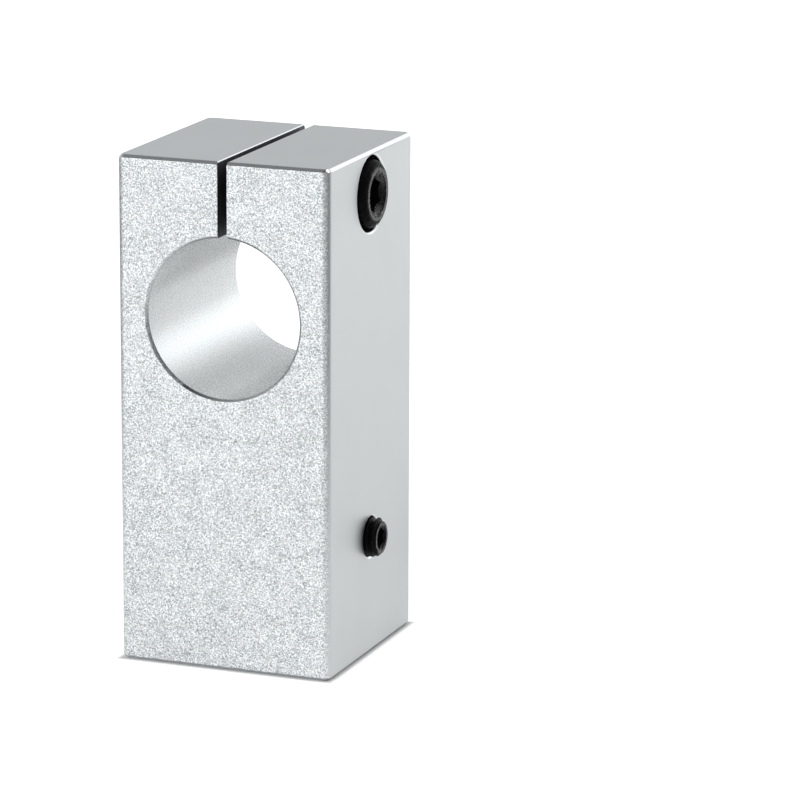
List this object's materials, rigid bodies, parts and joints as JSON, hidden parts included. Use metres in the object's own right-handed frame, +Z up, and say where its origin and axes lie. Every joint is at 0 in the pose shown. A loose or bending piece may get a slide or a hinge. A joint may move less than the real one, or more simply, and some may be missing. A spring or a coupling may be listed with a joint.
{
  "type": "shaft cross clamp",
  "caption": "Aluminium block that joins crossing shafts: a slotted eye closed by a cap screw grips the cross shaft, and a set screw holds the post shaft in the bore below.",
  "frame": {"origin": "centre of the bottom face, on the axis of the post bore at its mouth", "axes": "+Z up along the post bore, +Y along the cross bore from front to back, +X out of the side that both screws enter"},
  "size_m": [0.0294, 0.028, 0.064],
  "materials": {
    "clamp_block": "bead blasted and clear anodised, with a reamed bore",
    "clamp_screw": "black oxide, lightly oiled",
    "set_screw": "black oxide, lightly oiled"
  },
  "bodies": {
    "block": {"clamp_block": "clamp_block"},
    "cap_screw": {"clamp_screw": "clamp_screw"},
    "grub_screw": {"set_screw": "set_screw"}
  },
  "joints": [
    {"name": "clamp_screw_travel", "type": "slide", "parent": "block", "child": "cap_screw", "axis": [1, 0, 0], "range_m": [-0.00025, 0.00955]},
    {"name": "set_screw_travel", "type": "slide", "parent": "block", "child": "grub_screw", "axis": [1, 0, 0], "range_m": [-0.00145, 0.0035]}
  ]
}
